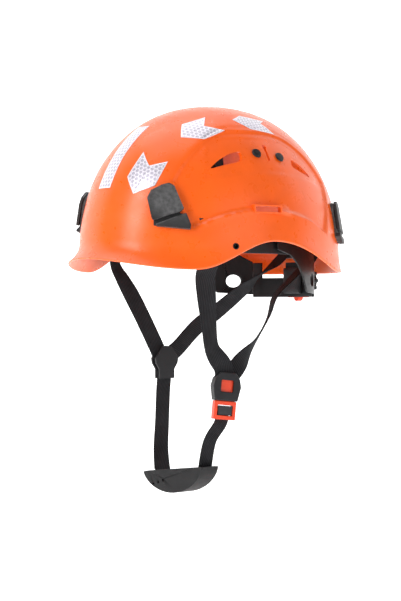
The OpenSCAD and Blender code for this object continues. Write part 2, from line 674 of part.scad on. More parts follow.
// ---- buckle ----
// the socket points along the path that the plug takes when the strap swings
buckle_turn = 70;
buckle_lean = asin(0.11);
function turned(p) = let (c = cos(buckle_turn), s = sin(buckle_turn)) [c * p.x - s * p.y, s * p.x + c * p.y, p.z];
function plug_point(p) =
    let (q = turned(p), c = cos(buckle_lean), s = sin(buckle_lean))
    buckle_at + [q.x, c * q.y + s * q.z, c * q.z - s * q.y];
module at_buckle() {
    translate(buckle_at) rotate([-buckle_lean, 0, 0]) rotate([0, 0, buckle_turn]) children();
}
socket_t = 10;
narrow_w = strap_w * 0.72;        // the webbing is folded narrow where it runs through the plug
loop_half = 3.9;                  // half the thickness of the webbing looped on the plug's bar
blade_w = buckle_w - 9;
blade_up = buckle_h / 2 - 7;      // the blade's tip above the socket's middle
side_play = 1.0;                  // lets the blade follow its arc out of the socket
depth_play = 1.5;
window = [buckle_w * 0.44, buckle_h * 0.42];
window_z = 0.5;
module socket_outline() {
    w = buckle_w / 2;
    h = buckle_h / 2;
    polygon([[-w + 6, h], [w - 6, h], [w - 1.5, h - 6], [w, 0], [w - 1.5, -h + 5], [w - 2.5, -h],
             [-w + 2.5, -h], [-w + 1.5, -h + 5], [-w, 0], [-w + 1.5, h - 6]]);
}
module buckle_socket() color("dimgray") at_buckle() {
    difference() {
        rotate([90, 0, 0]) linear_extrude(socket_t, center = true) socket_outline();
        translate([0, 0, blade_up + 1 - buckle_h])
            cube([blade_w + 2 * side_play, blade_t + 2 * depth_play, 2 * buckle_h], center = true);
        translate([0, -socket_t / 2, window_z]) cube([window.x, socket_t, window.y], center = true);
    }
}
module buckle_plug() color("orangered") at_buckle() {
    low = -buckle_h / 2 - gap;
    difference() {
        union() {
            translate([-blade_w / 2, -blade_t / 2, low - 1]) cube([blade_w, blade_t, blade_up - low + 1]);
            translate([-buckle_w / 2 + 3, -3.5, low - 17]) cube([buckle_w - 6, 7, 17]);
        }
        translate([0, 0, window_z]) cube([window.x + 0.8, 20, window.y + 0.8], center = true);
        translate([0, 0, low - 8.5]) cube([narrow_w + 1.6, 20, 9.5], center = true);
    }
    translate([0, 0, low - 8.5]) rotate([0, 90, 0]) cylinder(h = buckle_w - 8, r = 1.5, center = true);
}
module plug_loop() color("black") at_buckle() {
    translate([0, 0, -buckle_h / 2 - gap - 8.5])
        difference() {
            cube([narrow_w, 2 * loop_half, 8.4], center = true);
            rotate([0, 90, 0]) cylinder(h = 60, r = 1.55, center = true);
        }
}
module release_button() color("orangered") at_buckle() {
    translate([0, 1 - blade_t / 2 - depth_play + 2 * gap, window_z]) cube([window.x, 2, window.y], center = true);
}

shell_front();
shell_rear();
shell_seat();  // shell_seat_left
right_side() shell_seat();  // shell_seat_right
stripe();  // stripe_film
chevrons();  // chevrons_left
right_side() chevrons(7);  // chevrons_right
peg(peg_at[0]);  // peg_left_front
peg(peg_at[1]);  // peg_left_rear
right_side() peg(peg_at[0]);  // peg_right_front
right_side() peg(peg_at[1]);  // peg_right_rear
bushing();  // bushing_left
right_side() bushing();  // bushing_right
muff_sleeve();  // muff_sleeve_left
right_side() muff_sleeve();  // muff_sleeve_right
clip_base(front_clip_at, front_tab, front_wedge);  // clip_base_left_front
clip_base(rear_clip_at, rear_tab, rear_wedge);  // clip_base_left_rear
right_side() clip_base(front_clip_at, front_tab, front_wedge);  // clip_base_right_front
right_side() clip_base(rear_clip_at, rear_tab, rear_wedge);  // clip_base_right_rear
clip_tab(front_clip_at, front_tab);  // clip_tab_left_front
clip_tab(rear_clip_at, rear_tab);  // clip_tab_left_rear
right_side() clip_tab(front_clip_at, front_tab);  // clip_tab_right_front
right_side() clip_tab(rear_clip_at, rear_tab);  // clip_tab_right_rear
headband();
brow_pad();
key(true);  // key_left_front
key(false);  // key_left_rear
right_side() key(true);  // key_right_front
right_side() key(false);  // key_right_rear
crown_strap(0, 1);  // crown_strap_one
crown_strap(crown_t + 0.6, -1);  // crown_strap_two
crown_pad();
arm();  // cradle_arm_left
right_side() arm();  // cradle_arm_right
nape_plate();
nape_pad();
ratchet_housing();
rack(1);  // rack_left
rack(-1);  // rack_right
pinion();
knob();
knob_screw();
anchor_front();  // anchor_left_front
anchor_rear();  // anchor_left_rear
right_side() anchor_front();  // anchor_right_front
right_side() anchor_rear();  // anchor_right_rear
strap_front_left();
strap_rear_left();
strap_front_right();
strap_rear_right();
divider_front();
divider_back();
strap_lower_right();
strap_lower_left();
chin_cup();
buckle_socket();
buckle_plug();
plug_loop();
release_button();
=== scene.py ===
# %% [markdown]
# # A climbing helmet for tree work
# The real helmet is a moulded orange shell over a webbing cradle, with a chin strap below.
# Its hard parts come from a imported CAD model, which fixes every place and size. This lesson
# adds what the eye needs on top: smooth moulded skins, webbing with a weave, soft pads and
# finishes with real grain. All lengths here are in metres, and MM turns millimetres into them.

# %% Load the CAD frame
import json
import math
import bmesh
import bpy
import numpy as np
from mathutils import Matrix, Vector

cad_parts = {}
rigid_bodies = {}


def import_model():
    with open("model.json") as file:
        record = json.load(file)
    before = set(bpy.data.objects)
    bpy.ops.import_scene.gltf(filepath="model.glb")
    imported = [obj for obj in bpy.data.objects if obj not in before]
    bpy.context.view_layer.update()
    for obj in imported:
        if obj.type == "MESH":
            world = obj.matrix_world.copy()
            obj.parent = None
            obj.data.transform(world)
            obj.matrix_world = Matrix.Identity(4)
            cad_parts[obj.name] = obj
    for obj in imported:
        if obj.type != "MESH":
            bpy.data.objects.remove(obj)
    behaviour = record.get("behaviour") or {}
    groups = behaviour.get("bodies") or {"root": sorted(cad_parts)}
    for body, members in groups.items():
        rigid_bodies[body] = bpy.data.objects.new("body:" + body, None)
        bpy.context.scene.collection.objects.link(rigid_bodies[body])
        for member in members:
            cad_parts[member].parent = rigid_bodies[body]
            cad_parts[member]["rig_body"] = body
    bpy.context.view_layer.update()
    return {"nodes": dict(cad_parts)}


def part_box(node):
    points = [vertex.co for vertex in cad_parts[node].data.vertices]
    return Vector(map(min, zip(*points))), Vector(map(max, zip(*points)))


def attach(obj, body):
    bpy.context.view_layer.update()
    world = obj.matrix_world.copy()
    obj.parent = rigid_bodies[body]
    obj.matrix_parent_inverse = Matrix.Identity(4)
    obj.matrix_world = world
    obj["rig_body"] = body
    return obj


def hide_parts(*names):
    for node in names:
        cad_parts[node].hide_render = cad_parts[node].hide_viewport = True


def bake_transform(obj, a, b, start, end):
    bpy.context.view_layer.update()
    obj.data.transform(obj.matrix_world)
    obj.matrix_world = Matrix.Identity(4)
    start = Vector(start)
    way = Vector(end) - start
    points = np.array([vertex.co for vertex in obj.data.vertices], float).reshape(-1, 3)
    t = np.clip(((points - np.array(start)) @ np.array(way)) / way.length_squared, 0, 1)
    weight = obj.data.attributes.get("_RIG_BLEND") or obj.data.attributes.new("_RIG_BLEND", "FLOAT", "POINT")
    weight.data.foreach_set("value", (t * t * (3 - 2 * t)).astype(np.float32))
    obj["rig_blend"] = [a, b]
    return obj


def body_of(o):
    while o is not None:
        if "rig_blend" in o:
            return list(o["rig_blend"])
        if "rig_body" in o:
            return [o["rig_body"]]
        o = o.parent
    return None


MM = 0.001
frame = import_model()

# %% [markdown]
# The camera stands level with the chin strap, in front and to the wearer's left. A long lens
# keeps the dome from bulging. It is made first, so that every later step can be looked at.

# %% Set up the camera
aim = Vector((-6.5, -8.3, -27.0)) * MM
towards_camera = Vector((0.788, -0.616, 0.0)).normalized()
camera_data = bpy.data.cameras.new("camera")
camera_data.lens = 85
camera_data.sensor_width = 36
camera = bpy.data.objects.new("camera", camera_data)
camera.location = aim + towards_camera * 1.365
camera.rotation_euler = (-towards_camera).to_track_quat("-Z", "Y").to_euler()
bpy.context.scene.collection.objects.link(camera)
bpy.context.scene.camera = camera
print("camera at", [round(c, 3) for c in camera.location])

# %% [markdown]
# Studio light for plastic is large and soft: a tall softbox in front of the brim draws the
# long highlight, a second one fills the ear side, and one overhead lights the crown. A pale
# world and floor bounce light back under the rim. The view transform is set to Standard so
# that a saturated orange stays orange.

# %% Light the set
bpy.context.scene.view_settings.view_transform = "Standard"
studio = bpy.data.worlds.new("studio")
studio.use_nodes = True
studio.node_tree.nodes["Background"].inputs["Color"].default_value = (1, 1, 1, 1)
studio.node_tree.nodes["Background"].inputs["Strength"].default_value = 0.22
bpy.context.scene.world = studio
camera_left = Vector((-0.616, -0.788, 0.0))


def softbox(name, place, width, height, power):
    lamp = bpy.data.lights.new(name, "AREA")
    lamp.shape = "RECTANGLE"
    lamp.size, lamp.size_y, lamp.energy = width, height, power
    box = bpy.data.objects.new(name, lamp)
    box.location = place
    box.rotation_euler = (aim - Vector(place)).to_track_quat("-Z", "Y").to_euler()
    bpy.context.scene.collection.objects.link(box)
    return box


key = softbox("key", aim + towards_camera * 0.75 + camera_left * 0.8 + Vector((0, 0, 0.55)), 0.35, 0.8, 6.5)
fill = softbox("fill", aim + towards_camera * 0.9 - camera_left * 0.9 + Vector((0, 0, 0.3)), 0.8, 0.8, 1.8)
top = softbox("top", aim + camera_left * 0.2 + Vector((0, 0, 1.2)), 0.9, 0.9, 4.5)
print("lights:", key.name, fill.name, top.name)

# %% [markdown]
# The floor is one wide pale plane below the chin cup, with an upright white backdrop behind. Both
# glow a little, so that the horizon does not show. The helmet is worn, not stood up, so it
# hangs clear of the floor, with room for the strap to swing.

# %% Lay the floor
floor_height = -245 * MM
floor_mesh = bpy.data.meshes.new("floor")
floor_mesh.from_pydata([(-30, -30, floor_height), (30, -30, floor_height), (30, 30, floor_height),
                        (-30, 30, floor_height)], [], [(0, 1, 2, 3)])
floor = bpy.data.objects.new("floor", floor_mesh)
bpy.context.scene.collection.objects.link(floor)
pale = bpy.data.materials.new("pale_floor")
pale.use_nodes = True
pale.node_tree.nodes["Principled BSDF"].inputs["Base Color"].default_value = (0.96, 0.96, 0.96, 1)
pale.node_tree.nodes["Principled BSDF"].inputs["Roughness"].default_value = 0.9
pale.node_tree.nodes["Principled BSDF"].inputs["Emission Color"].default_value = (1, 1, 1, 1)
pale.node_tree.nodes["Principled BSDF"].inputs["Emission Strength"].default_value = 0.8
floor_mesh.materials.append(pale)
wall_middle = aim - towards_camera * 4
wall_mesh = bpy.data.meshes.new("backdrop")
wall_mesh.from_pydata([wall_middle + camera_left * s * 20 + Vector((0, 0, h)) for s, h in
                       ((-1, -1), (1, -1), (1, 20), (-1, 20))], [], [(0, 1, 2, 3)])
backdrop = bpy.data.objects.new("backdrop", wall_mesh)
bpy.context.scene.collection.objects.link(backdrop)
wall_mesh.materials.append(pale)
print("floor at", floor_height)

# %% [markdown]
# ## Finishes
# Every finish starts the same way: a shader, object coordinates, and noise in millimetres. A
# few helpers keep the node wiring short. Object coordinates are in metres, so a noise scale of
# 1000 / size gives blotches of that size in millimetres.


# %% Helpers for shader nodes
def new_finish(name):
    """A material with its node tree, its shader and its object coordinates."""
    finish = bpy.data.materials.new(name)
    finish.use_nodes = True
    tree = finish.node_tree
    place = tree.nodes.new("ShaderNodeTexCoord").outputs["Object"]
    return finish, tree, tree.nodes["Principled BSDF"], place


def noise(tree, place, size_mm, detail=3):
    texture = tree.nodes.new("ShaderNodeTexNoise")
    texture.inputs["Scale"].default_value = 1000 / size_mm
    texture.inputs["Detail"].default_value = detail
    tree.links.new(place, texture.inputs["Vector"])
    return texture.outputs["Fac"]


def spread(tree, value, low, high, from_low=0.3, from_high=0.7):
    """Stretch a texture's value to a new range."""
    node = tree.nodes.new("ShaderNodeMapRange")
    for name, number in (("From Min", from_low), ("From Max", from_high), ("To Min", low), ("To Max", high)):
        node.inputs[name].default_value = number
    tree.links.new(value, node.inputs["Value"])
    return node.outputs["Result"]


def blend_colour(tree, share, dark, light):
    """A colour between two colours or colour sockets."""
    node = tree.nodes.new("ShaderNodeMix")
    node.data_type = "RGBA"
    tree.links.new(share, node.inputs["Factor"])
    for name, colour in (("A", dark), ("B", light)):
        sockets = [s for s in node.inputs if s.name == name and s.type == "RGBA"]
        if isinstance(colour, bpy.types.NodeSocket):
            tree.links.new(colour, sockets[0])
        else:
            sockets[0].default_value = (*colour, 1)
    return [s for s in node.outputs if s.type == "RGBA"][0]


def sums(tree, how, first, second):
    """A Math node on two sockets or numbers."""
    node = tree.nodes.new("ShaderNodeMath")
    node.operation = how
    for socket, value in zip(node.inputs, (first, second)):
        if isinstance(value, bpy.types.NodeSocket):
            tree.links.new(value, socket)
        else:
            socket.default_value = value
    return node.outputs["Value"]


def emboss(tree, shader, height, depth_mm, strength=1.0):
    """Turn a height from 0 to 1 into a bump that is depth_mm deep."""
    node = tree.nodes.new("ShaderNodeBump")
    node.inputs["Strength"].default_value = strength
    node.inputs["Distance"].default_value = depth_mm * MM
    tree.links.new(height, node.inputs["Height"])
    tree.links.new(node.outputs["Normal"], shader.inputs["Normal"])


print("shader helpers ready")

# %% [markdown]
# Moulded plastic is never one even colour. It has faint flow clouds, a fine spark-eroded
# grain, and slightly paler edges where it has been handled. Each finish below differs in its
# colour, its grain size and depth, and how far its roughness wanders.


# %% Moulded plastics
def moulded(name, colour, cloud, roughness, grain_mm, grain_depth, worn=0.0):
    """Plastic out of a mould. cloud is how much the colour wanders, worn how pale its edges are."""
    finish, tree, shader, place = new_finish(name)
    clouds = spread(tree, noise(tree, place, 28, 4), 0.0, 1.0)
    low = tuple(c * (1 - cloud) for c in colour)
    high = tuple(min(1.0, c * (1 + cloud)) for c in colour)
    body = blend_colour(tree, clouds, low, high)
    if worn:
        edges = tree.nodes.new("ShaderNodeNewGeometry").outputs["Pointiness"]
        rubbed = sums(tree, "MULTIPLY", spread(tree, edges, 0.0, worn, 0.52, 0.62),
                      spread(tree, noise(tree, place, 4, 5), 0.2, 1.0))
        body = blend_colour(tree, rubbed, body, tuple(min(1.0, c * 1.4 + 0.16) for c in colour))
    tree.links.new(body, shader.inputs["Base Color"])
    shader.inputs["Specular IOR Level"].default_value = 0.5 if colour[0] > 0.2 else 0.22
    rough = spread(tree, noise(tree, place, 9, 5), roughness - 0.05, roughness + 0.06)
    tree.links.new(rough, shader.inputs["Roughness"])
    emboss(tree, shader, noise(tree, place, grain_mm, 2), grain_depth)
    print("plastic", name, "roughness", roughness)
    return finish


shell_orange = moulded("shell_orange", (0.96, 0.122, 0.006), 0.05, 0.3, 9.0, 0.004)
clip_grey = moulded("clip_grey", (0.030, 0.029, 0.030), 0.18, 0.55, 0.55, 0.03, worn=0.5)
harness_black = moulded("harness_black", (0.010, 0.010, 0.011), 0.2, 0.36, 0.8, 0.02, worn=0.35)
buckle_black = moulded("buckle_black", (0.018, 0.018, 0.020), 0.15, 0.42, 0.6, 0.02, worn=0.4)
bright_orange = moulded("bright_orange", (0.80, 0.052, 0.008), 0.08, 0.38, 0.9, 0.015, worn=0.3)
cup_black = moulded("cup_black", (0.014, 0.014, 0.015), 0.2, 0.58, 0.9, 0.05, worn=0.5)
gear_grey = moulded("gear_grey", (0.22, 0.22, 0.22), 0.08, 0.4, 0.8, 0.02, worn=0.3)

# %% [markdown]
# The knob's screw is zinc-plated steel. Turning marks round the head show as fine rings, and
# the plating is a little blotchy.

# %% Plated steel
zinc, zinc_tree, zinc_shader, zinc_place = new_finish("zinc_steel")
zinc_shader.inputs["Metallic"].default_value = 1.0
zinc_clouds = noise(zinc_tree, zinc_place, 2, 4)
zinc_colour = blend_colour(zinc_tree, zinc_clouds, (0.52, 0.52, 0.55), (0.74, 0.74, 0.76))
zinc_tree.links.new(zinc_colour, zinc_shader.inputs["Base Color"])
zinc_tree.links.new(spread(zinc_tree, noise(zinc_tree, zinc_place, 0.7, 3), 0.22, 0.42),
                    zinc_shader.inputs["Roughness"])
emboss(zinc_tree, zinc_shader, noise(zinc_tree, zinc_place, 0.35, 2), 0.02)
print("steel ready")

# %% [markdown]
# Webbing is woven flat from thick polyester yarns, so it shows fine slanting ribs that run
# along the band, crossed by the picks of the weft, with a tight plain selvedge at each edge.
# The pattern is drawn in a UV map whose units are millimetres across and along the band, so it
# stays at its true size on every strap, however the strap bends.


# %% Woven webbing
def woven(name, dark, light, rib_mm, slant, sheen):
    """Ribbed webbing. rib_mm is the spacing of the ribs and slant how far they lean."""
    finish, tree, shader, place = new_finish(name)
    weave = tree.nodes.new("ShaderNodeUVMap")
    weave.uv_map = "weave"
    split = tree.nodes.new("ShaderNodeSeparateXYZ")
    tree.links.new(weave.outputs["UV"], split.inputs["Vector"])
    across, along = split.outputs["X"], split.outputs["Y"]
    turn = 2 * math.pi
    pick_mm = 0.9
    leaning = sums(tree, "ADD", sums(tree, "MULTIPLY", across, turn / rib_mm),
                   sums(tree, "MULTIPLY", along, slant * turn / rib_mm))
    rib = spread(tree, sums(tree, "SINE", leaning, 0), 0.0, 1.0, -1.0, 1.0)
    crossing = sums(tree, "MULTIPLY", along, turn / pick_mm)
    picks = spread(tree, sums(tree, "SINE", crossing, 0), 0.0, 1.0, -1.0, 1.0)
    fuzz = noise(tree, place, 0.5, 3)
    pick_share = sums(tree, "ADD", sums(tree, "MULTIPLY", picks, 0.45), 0.55)
    cloth = sums(tree, "ADD", sums(tree, "MULTIPLY", rib, pick_share), sums(tree, "MULTIPLY", fuzz, 0.35))
    worn = spread(tree, noise(tree, place, 14, 4), 0.0, 0.25)
    tone = sums(tree, "ADD", sums(tree, "MULTIPLY", cloth, 0.75), worn)
    tree.links.new(blend_colour(tree, tone, dark, light), shader.inputs["Base Color"])
    tree.links.new(spread(tree, fuzz, 0.72, 0.9), shader.inputs["Roughness"])
    shader.inputs["Specular IOR Level"].default_value = 0.15
    shader.inputs["Sheen Weight"].default_value = sheen
    shader.inputs["Sheen Roughness"].default_value = 0.4
    emboss(tree, shader, cloth, 0.3, 0.8)
    print("webbing", name, "ribs every", rib_mm, "mm")
    return finish


strap_webbing = woven("strap_webbing", (0.004, 0.004, 0.005), (0.030, 0.030, 0.033), 1.7, 0.22, 0.02)
crown_webbing = woven("crown_webbing", (0.004, 0.004, 0.005), (0.024, 0.024, 0.027), 1.4, 0.0, 0.02)

# %% [markdown]
# The pads are foam under a brushed knit: a soft dark nap, with little tufts and a network of
# stitches that only just shows. A cell texture at 1.3 mm gives the knit and a fine noise the nap.

# %% Brushed knit
pad_knit, knit_tree, knit_shader, knit_place = new_finish("pad_knit")
loops = knit_tree.nodes.new("ShaderNodeTexVoronoi")
loops.inputs["Scale"].default_value = 1000 / 1.3
loops.inputs["Randomness"].default_value = 0.35
knit_tree.links.new(knit_place, loops.inputs["Vector"])
nap = noise(knit_tree, knit_place, 0.35, 3)
knit_height = sums(knit_tree, "ADD", sums(knit_tree, "MULTIPLY", loops.outputs["Distance"], -0.8),
                   sums(knit_tree, "MULTIPLY", nap, 0.5))
knit_shade = sums(knit_tree, "ADD", nap, noise(knit_tree, knit_place, 12, 3))
knit_tone = spread(knit_tree, knit_shade, 0.0, 1.0, 0.7, 1.3)
knit_tree.links.new(blend_colour(knit_tree, knit_tone, (0.007, 0.007, 0.008), (0.030, 0.030, 0.034)),
                    knit_shader.inputs["Base Color"])
knit_shader.inputs["Roughness"].default_value = 0.95
knit_shader.inputs["Sheen Weight"].default_value = 0.08
emboss(knit_tree, knit_shader, knit_height, 0.35, 0.9)
print("knit ready")

# %% [markdown]
# Prismatic reflective film is pressed into cells about 4 mm across. Three waves at 60 degrees
# to each other add up to a honeycomb, the cell walls are paler than the cells, and a plain
# white margin runs round each patch. The margin comes from a second map that holds how far
# each point is from the patch's edge, in millimetres.

# %% Reflective film
film_silver, film_tree, film_shader, film_place = new_finish("film_silver")
film_map = film_tree.nodes.new("ShaderNodeUVMap")
film_map.uv_map = "cells"
film_split = film_tree.nodes.new("ShaderNodeSeparateXYZ")
film_tree.links.new(film_map.outputs["UV"], film_split.inputs["Vector"])
cell_mm = 3.6
comb = None
for turn in (0, 60, 120):
    step = 2 * math.pi / cell_mm
    lean_x = sums(film_tree, "MULTIPLY", film_split.outputs["X"], step * math.cos(math.radians(turn)))
    lean_y = sums(film_tree, "MULTIPLY", film_split.outputs["Y"], step * math.sin(math.radians(turn)))
    ripple = sums(film_tree, "COSINE", sums(film_tree, "ADD", lean_x, lean_y), 0)
    comb = ripple if comb is None else sums(film_tree, "ADD", comb, ripple)
walls = spread(film_tree, comb, 1.0, 0.0, -1.2, 0.2)
edge_map = film_tree.nodes.new("ShaderNodeAttribute")
edge_map.attribute_name = "to_edge"
margin = spread(film_tree, edge_map.outputs["Fac"], 1.0, 0.0, 0.9, 1.3)
glitter = noise(film_tree, film_place, 0.8, 2)
cell_share = spread(film_tree, glitter, 0.0, 1.0)
cell_tone = blend_colour(film_tree, cell_share, (0.42, 0.39, 0.47), (0.55, 0.51, 0.60))
film_tone = blend_colour(film_tree, sums(film_tree, "MAXIMUM", walls, margin), cell_tone, (0.83, 0.79, 0.86))
film_tree.links.new(film_tone, film_shader.inputs["Base Color"])
film_shader.inputs["Metallic"].default_value = 0.25
film_tree.links.new(spread(film_tree, glitter, 0.22, 0.4), film_shader.inputs["Roughness"])
film_shader.inputs["Coat Weight"].default_value = 0.4
emboss(film_tree, film_shader, walls, 0.05, 0.5)
print("film cells", cell_mm, "mm")

# %% [markdown]
# ## Building skins in mesh code
# Most new pieces here are grids of points: rings joined to rings. This helper turns a grid
# into a mesh, closes it round if asked, and stores maps for the finishes.


# %% A helper for grids of points
def lay_piece(name, points, faces, finish, maps=None, sharp=38):
    """A mesh piece from points in metres. maps holds UV maps as name: one (u, v) per point."""
    mesh = bpy.data.meshes.new(name)
    mesh.from_pydata([tuple(map(float, p)) for p in points], [], [tuple(map(int, f)) for f in faces])
    mesh.validate()
    loops = np.zeros(len(mesh.loops), int)
    mesh.loops.foreach_get("vertex_index", loops)
    for title, values in (maps or {}).items():
        layer = mesh.uv_layers.new(name=title)
        layer.uv.foreach_set("vector", np.asarray(values, float)[loops].ravel())
    mesh.shade_smooth()
    mesh.set_sharp_from_angle(angle=math.radians(sharp))
    mesh.materials.append(finish)
    piece = bpy.data.objects.new(name, mesh)
    bpy.context.scene.collection.objects.link(piece)
    return piece


def grid_faces(rows, columns, closed, first=0):
    """Quads of a grid stored row by row. closed joins the last column to the first."""
    wide = columns if closed else columns - 1
    j = np.arange(wide)
    k = (j + 1) % columns
    rings = [np.stack([i * columns + j, i * columns + k, (i + 1) * columns + k, (i + 1) * columns + j], 1)
             for i in range(rows - 1)]
    return (np.concatenate(rings) + first).tolist()


def settle(piece):
    """Apply every modifier, so that the mesh is final."""
    made = bpy.data.meshes.new_from_object(piece.evaluated_get(bpy.context.evaluated_depsgraph_get()))
    piece.modifiers.clear()
    piece.data = made


def faces_out(piece):
    """Turn every face's normal outwards."""
    shape = bmesh.new()
    shape.from_mesh(piece.data)
    bmesh.ops.recalc_face_normals(shape, faces=shape.faces)
    shape.to_mesh(piece.data)
    shape.free()


print("mesh helpers ready")

# %% [markdown]
# ## The shell
# The real shell is one ABS moulding about 3 mm thick: a dome, a short flared brim, an arch
# over each ear and a recessed panel on each side. Its surface is a formula of the angle round
# the helmet and the height, so it is built as a fine grid from the same formula as the CAD.
# The grid is much denser than the CAD's facets, and that makes the gloss run smoothly.

# %% Sizes of the shell
shell_nodes = ("shell_front", "shell_rear", "shell_seat_left", "shell_seat_right")
shell_low = [min(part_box(n)[0][i] for n in shell_nodes) for i in range(3)]
shell_high = [max(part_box(n)[1][i] for n in shell_nodes) for i in range(3)]
half_width, half_length = 106.0, 135.0
crown, wall = 158.0, 2.8
brim_reach, front_rise, ear_arch, side_flare = 15.0, 10.0, 26.0, 1.5
panel_depth, panel_top, panel_low = 2.5, 130.0, 54.5
dome_from, dome_power, brim_height = 10.0, 2.2, 20.0
print("shell box (mm):", [round(c * 1000) for c in (*shell_low, *shell_high)])


# %% The formulas of its surface
def ease(u):
    u = np.clip(u, 0, 1)
    return u * u * (3 - 2 * u)


def wave(u):
    return (1 - np.cos(np.pi * np.clip(u, 0, 1))) / 2


def frontness(angle):
    """90 at the brim, 0 at the sides, -90 at the back."""
    return np.degrees(np.arcsin(np.clip(np.sin(np.radians(angle)), -1, 1)))


def narrow(z, top):
    """The share of the plan size that is left at height z."""
    rise = np.clip((z - dome_from) / (top - dome_from), 0, 1)
    return (1 - rise**dome_power) ** (1 / dome_power)


def rim_height(angle):
    f = frontness(angle)
    return np.select([f > 38, f > 4, f > -45],
                     [front_rise * wave((f - 38) / 52), ear_arch * (1 - wave((f - 4) / 34)),
                      ear_arch * (1 - wave((4 - f) / 49))], 0.0)


def lip(angle, z):
    """How far the flared edge stands out."""
    s = np.sin(np.radians(frontness(angle)))
    ahead = side_flare + (brim_reach - side_flare) * np.maximum(s, 0) ** 3
    flare = np.where(s > 0, ahead, side_flare * (1 - s))
    rise = (z - rim_height(angle)) / brim_height
    return np.where(rise >= 1, 0, flare * (1 - np.clip(rise, 0, 1)) ** 2)


def panel_limits(angle, z):
    """The recessed side panel's upper and lower line, and how far inside its ends a point is."""
    f = frontness(angle)
    high = panel_top - np.where(f > 5, 52 * (np.maximum(f - 5, 0) / 45) ** 4,
                                44 * (np.maximum(5 - f, 0) / 47) ** 3.5)
    low = panel_low - 19 * ((f - 6) / 34) ** 2
    ahead, behind = 40 + 10 * (z - 34.5) / 43.5, -29.5 - 12.5 * (z - 36.7) / 49.3
    return high, low, ease((ahead - f) * 0.7) * ease((f - behind) * 0.7)


print("rim over the ear at", round(float(rim_height(4.0)), 1), "mm")

# %% [markdown]
# Moulded details sit on top of the plain panel: a soft bead along the ledge under it, a very
# shallow tray round the vents, and a small catch behind the ear-muff slot. Each is a few
# tenths of a millimetre, and is only there to catch the light as the real one does.


# %% Small moulded details
def relief(angle, z):
    """Millimetres to add to the plain shell, out of its surface."""
    f = frontness(angle)
    high, low, ends = panel_limits(angle, z)
    panel = ease((high - z) / 4.5) * ease((z - low) / 3) * ends
    bead = 0.55 * np.exp(-(((z - low + 0.8) / 1.3) ** 2)) * ends
    groove = -0.5 * np.exp(-(((z - high - 1.5) / 2.2) ** 2)) * ends * (z > 70)
    tray_low = 88.5 - 7.5 * ((f + 2) / 34) ** 2
    tray = -0.45 * ease((z - tray_low) / 2) * ease((high - 7 - z) / 3) * ease((36 - np.abs(f + 1)) * 0.5)
    catch = 0.9 * ease((2.6 - np.abs(f + 2.2)) / 1.0) * ease((4 - np.abs(z - 55.5)) / 1.2)
    return -panel_depth * panel + bead + groove + tray + catch


def shell_skin(angle, z, inset):
    """A point of the shell, in millimetres. inset 0 is the outside."""
    n = narrow(z, crown - inset)
    detail = relief(angle, z) if inset == 0 else -panel_depth * plain_panel(angle, z)
    out = lip(angle, z) + detail
    a = np.radians(angle)
    return np.stack([((half_width - inset) * n + out) * np.cos(a),
                     -((half_length - inset) * n + out) * np.sin(a), z + 0 * a], -1)


def plain_panel(angle, z):
    high, low, ends = panel_limits(angle, z)
    return ease((high - z) / 3) * ease((z - low) / 3) * ends


print("panel is sunk", round(float(-relief(10.0, 75.0)), 2), "mm at its middle")

# %% [markdown]
# Rows follow the wavy rim for the first 20 mm, then spread over the dome. The rim itself is
# not square as in the CAD: a half round joins the outside to the inside, which gives the thin
# bright line that a moulded edge shows.

# %% Lay the shell's grid
columns, dome_rows, rim_rows, round_rows = 360, 112, 16, 6
angles = np.arange(columns) * 360 / columns
edge_round = 1.3


def skin_rows(inset):
    """All rings of one skin, from the rim to just below the pole."""
    start = rim_height(angles) + edge_round
    rings = [start + brim_height * i / rim_rows for i in range(rim_rows)]
    top = crown - inset
    for i in range(dome_rows):
        share = math.sin(math.pi / 2 * i / dome_rows) ** 0.909 if i else 0.0
        rings.append(start + brim_height + (top - start - brim_height) * share)
    return [shell_skin(angles, z, inset) for z in rings]


outside, inside = skin_rows(0.0), skin_rows(wall)
middle, half = (outside[0] + inside[0]) / 2, (outside[0] - inside[0]) / 2
half_round = [middle + half * math.cos(t) - np.array([0, 0, edge_round]) * math.sin(t)
              for t in np.linspace(math.pi, 0, round_rows)[1:-1]]
rings = inside[::-1] + half_round + outside
shell_points = np.concatenate([*rings, [[0, 0, crown - wall], [0, 0, crown]]])
pole_in, pole_out = len(shell_points) - 2, len(shell_points) - 1
shell_faces = grid_faces(len(rings), columns, True)
last = (len(rings) - 1) * columns
shell_faces += [(pole_in, (j + 1) % columns, j) for j in range(columns)]
shell_faces += [(pole_out, last + j, last + (j + 1) % columns) for j in range(columns)]
shell = lay_piece("shell_skin", shell_points * MM, shell_faces, shell_orange)
faces_out(shell)
print("shell grid:", len(shell_points), "points")

# %% [markdown]
# The vents and the upright key slot are cut right through both sides. Each outline is rounded
# by cutting its corners twice, then extruded along X and taken away with a Boolean. Small
# pockets for the vent pegs, the visor bushings and the ear-muff slots are cut square to the
# surface.


# %% Cutters for the vents and slots
def cut_corners(outline, times=3):
    """Chaikin's rule: each pass swaps a corner for two points a quarter of the way along."""
    line = np.array(outline, float)
    for _ in range(times):
        after = np.roll(line, -1, 0)
        line = np.stack([line * 0.82 + after * 0.18, line * 0.18 + after * 0.82], 1).reshape(-1, 2)
    return line


def prism(outline, place, reach):
    """A closed prism: an outline in the plane of place's X and Y, and reach = (low, high) along its Z."""
    n = len(outline)
    points = [place @ Vector((u, v, w)) for w in reach for u, v in outline]
    faces = [tuple(range(n))[::-1], tuple(range(n, 2 * n))]
    faces += [(j, (j + 1) % n, n + (j + 1) % n, n + j) for j in range(n)]
    return points, faces


def through_sides():
    """Axes for outlines seen from the wearer's left: u is Y, v is Z and w is X."""
    return Matrix(((0, 0, 1, 0), (1, 0, 0, 0), (0, 1, 0, 0), (0, 0, 0, 1)))


